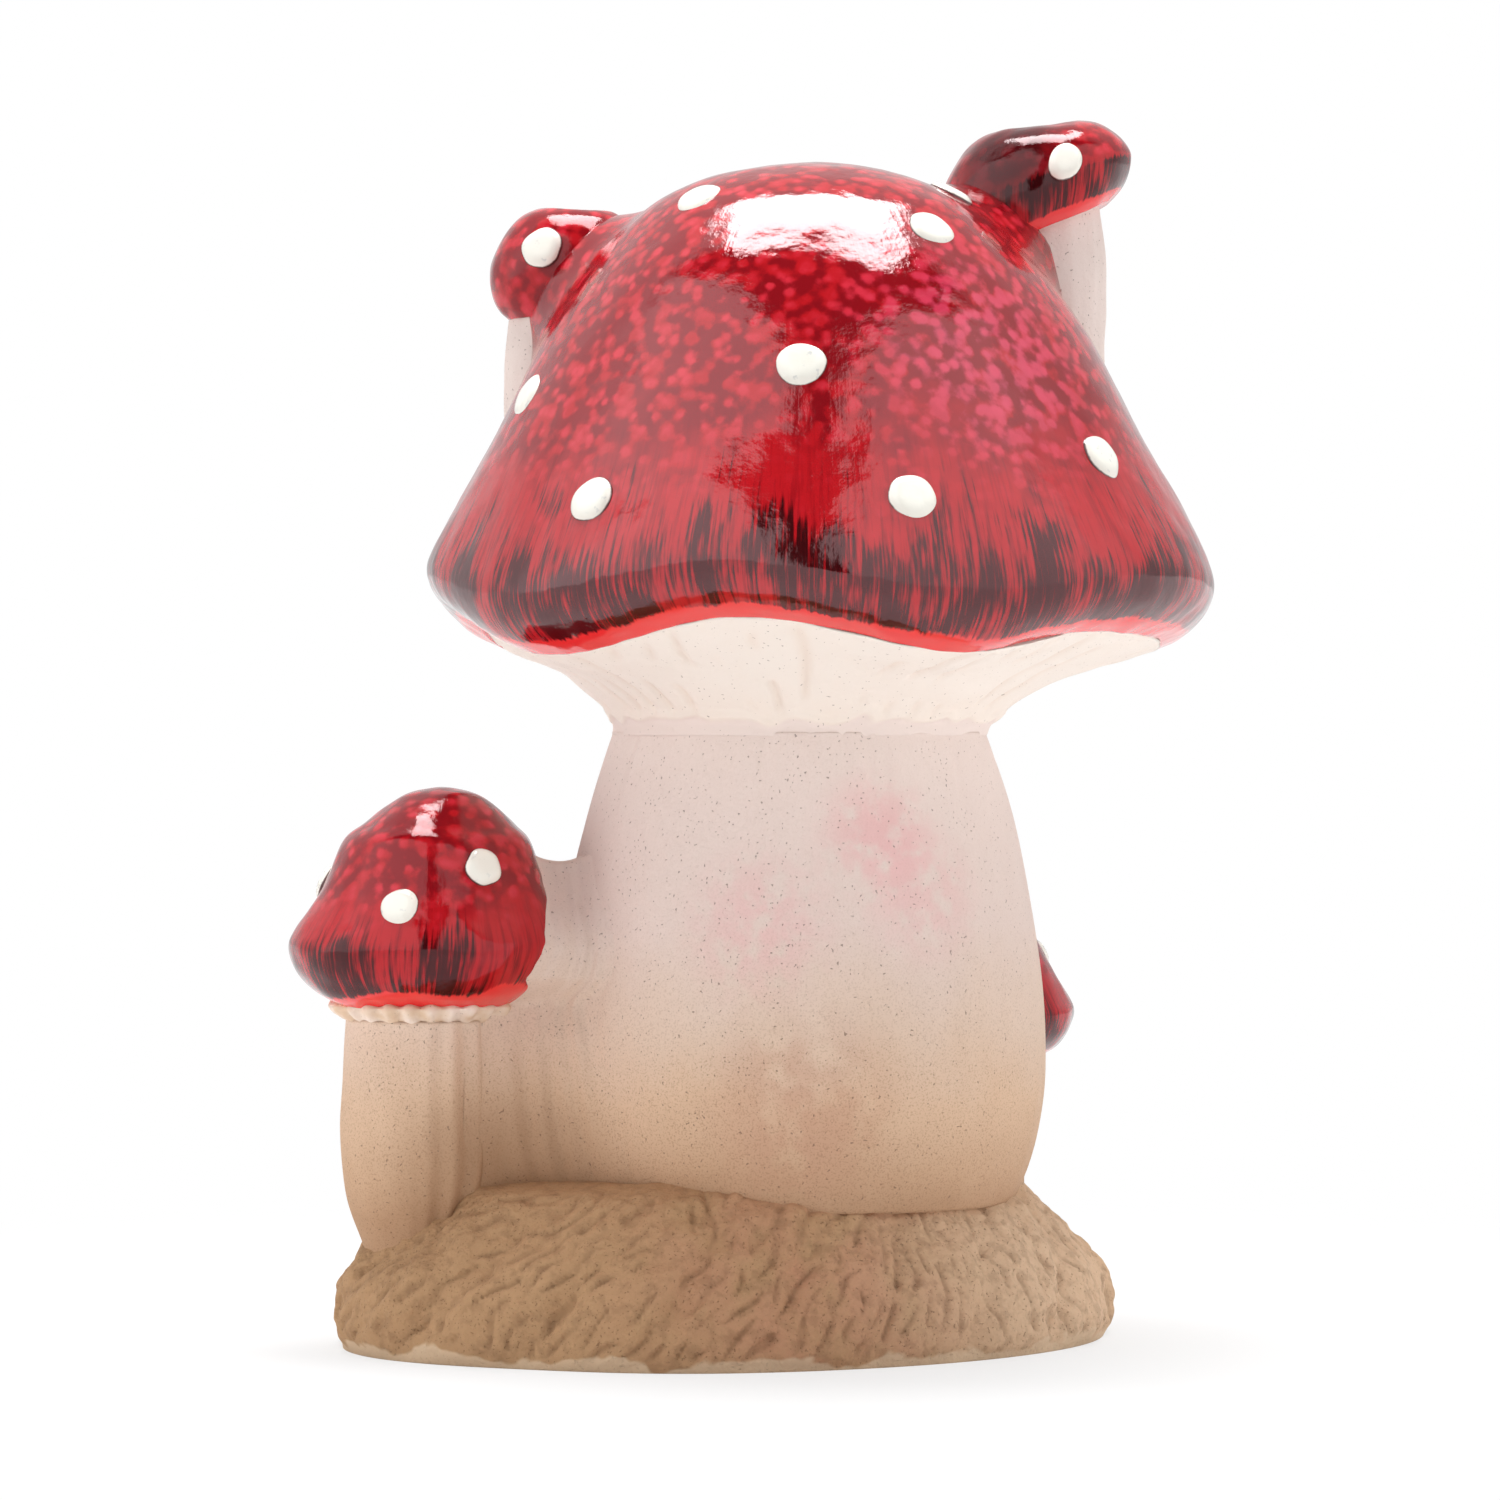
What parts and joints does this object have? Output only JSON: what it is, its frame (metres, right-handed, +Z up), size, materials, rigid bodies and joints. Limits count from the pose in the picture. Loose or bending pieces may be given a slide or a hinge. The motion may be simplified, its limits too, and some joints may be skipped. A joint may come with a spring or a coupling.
{
  "type": "ceramic mushroom ornament",
  "caption": "Free-standing ceramic toadstool ornament: spotted glazed cap, gilled underside and barrel stem on a carved ground mound, with small toadstools growing from mound and cap.",
  "frame": {"origin": "on the ground, under the middle of the ornament's overall width and depth", "axes": "+Z up; -Y towards the front, where the low toadstool stands on the left; +X to the right seen from the front"},
  "size_m": [0.1542, 0.132, 0.2065],
  "materials": {
    "cap_red": "clear gloss glaze over sponged and brushed crimson",
    "enamel_white": "raised gloss enamel",
    "gill_cream": "matte",
    "stem_matte": "matte, sprayed from pinkish white at the top to tan at the foot",
    "ground_brown": "matte, carved and washed with brown"
  },
  "bodies": {
    "root": {"base_mound": "ground_brown", "main_stem": "stem_matte", "gill_funnel": "gill_cream", "main_cap": "cap_red", "front_left_stem": "stem_matte", "front_left_collar": "gill_cream", "front_left_cap": "cap_red", "rear_right_stem": "stem_matte", "rear_right_collar": "gill_cream", "rear_right_cap": "cap_red", "top_left_stem": "stem_matte", "top_left_cap": "cap_red", "top_right_stem": "stem_matte", "top_right_cap": "cap_red", "main_cap_dots": "enamel_white", "front_left_cap_dots": "enamel_white", "rear_right_cap_dots": "enamel_white", "top_left_cap_dots": "enamel_white", "top_right_cap_dots": "enamel_white"}
  },
  "joints": []
}
